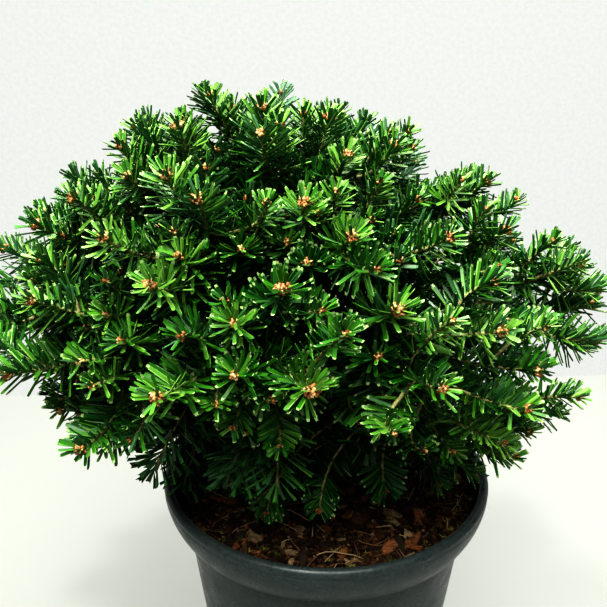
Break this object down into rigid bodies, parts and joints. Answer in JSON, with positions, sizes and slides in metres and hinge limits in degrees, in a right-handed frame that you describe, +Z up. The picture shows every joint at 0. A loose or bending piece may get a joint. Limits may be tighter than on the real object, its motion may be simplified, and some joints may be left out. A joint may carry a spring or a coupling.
{
  "type": "potted dwarf fir",
  "caption": "A low, dense dwarf fir in a round black nursery pot: short trunk, spreading boughs and a wide dome of needled shoots that end in buds.",
  "frame": {"origin": "centre of the pot's underside, on the surface it stands on", "axes": "+Z up along the pot's axis, +X to the right of the picture's view, +Y away from its camera"},
  "size_m": [0.3434, 0.2758, 0.3656],
  "materials": {
    "pot_plastic": "satin charcoal moulded plastic, a little dusty",
    "compost": "dark moist bark compost with paler chips",
    "bark": "rough grey-brown bark",
    "needles": "glossy flat needles, dark green above and pale banded below"
  },
  "bodies": {
    "root": {"pot": "pot_plastic", "compost": "compost", "trunk": "bark", "bough_skirt_1": "bark", "bough_skirt_2": "bark", "bough_skirt_3": "bark", "bough_skirt_4": "bark", "bough_skirt_5": "bark", "bough_skirt_6": "bark", "bough_waist_1": "bark", "bough_waist_2": "bark", "bough_waist_3": "bark", "bough_waist_4": "bark", "bough_waist_5": "bark", "bough_waist_6": "bark", "bough_waist_7": "bark", "bough_waist_8": "bark", "bough_waist_9": "bark", "bough_shoulder_1": "bark", "bough_shoulder_2": "bark", "bough_shoulder_3": "bark", "bough_shoulder_4": "bark", "bough_shoulder_5": "bark", "bough_shoulder_6": "bark", "bough_top_1": "bark", "bough_top_2": "bark", "bough_top_3": "bark", "foliage_skirt_1": "needles", "foliage_skirt_2": "needles", "foliage_skirt_3": "needles", "foliage_skirt_4": "needles", "foliage_skirt_5": "needles", "foliage_skirt_6": "needles", "foliage_waist_1": "needles", "foliage_waist_2": "needles", "foliage_waist_3": "needles", "foliage_waist_4": "needles", "foliage_waist_5": "needles", "foliage_waist_6": "needles", "foliage_waist_7": "needles", "foliage_waist_8": "needles", "foliage_waist_9": "needles", "foliage_shoulder_1": "needles", "foliage_shoulder_2": "needles", "foliage_shoulder_3": "needles", "foliage_shoulder_4": "needles", "foliage_shoulder_5": "needles", "foliage_shoulder_6": "needles", "foliage_top_1": "needles", "foliage_top_2": "needles", "foliage_top_3": "needles", "foliage_leader": "needles"}
  },
  "joints": []
}
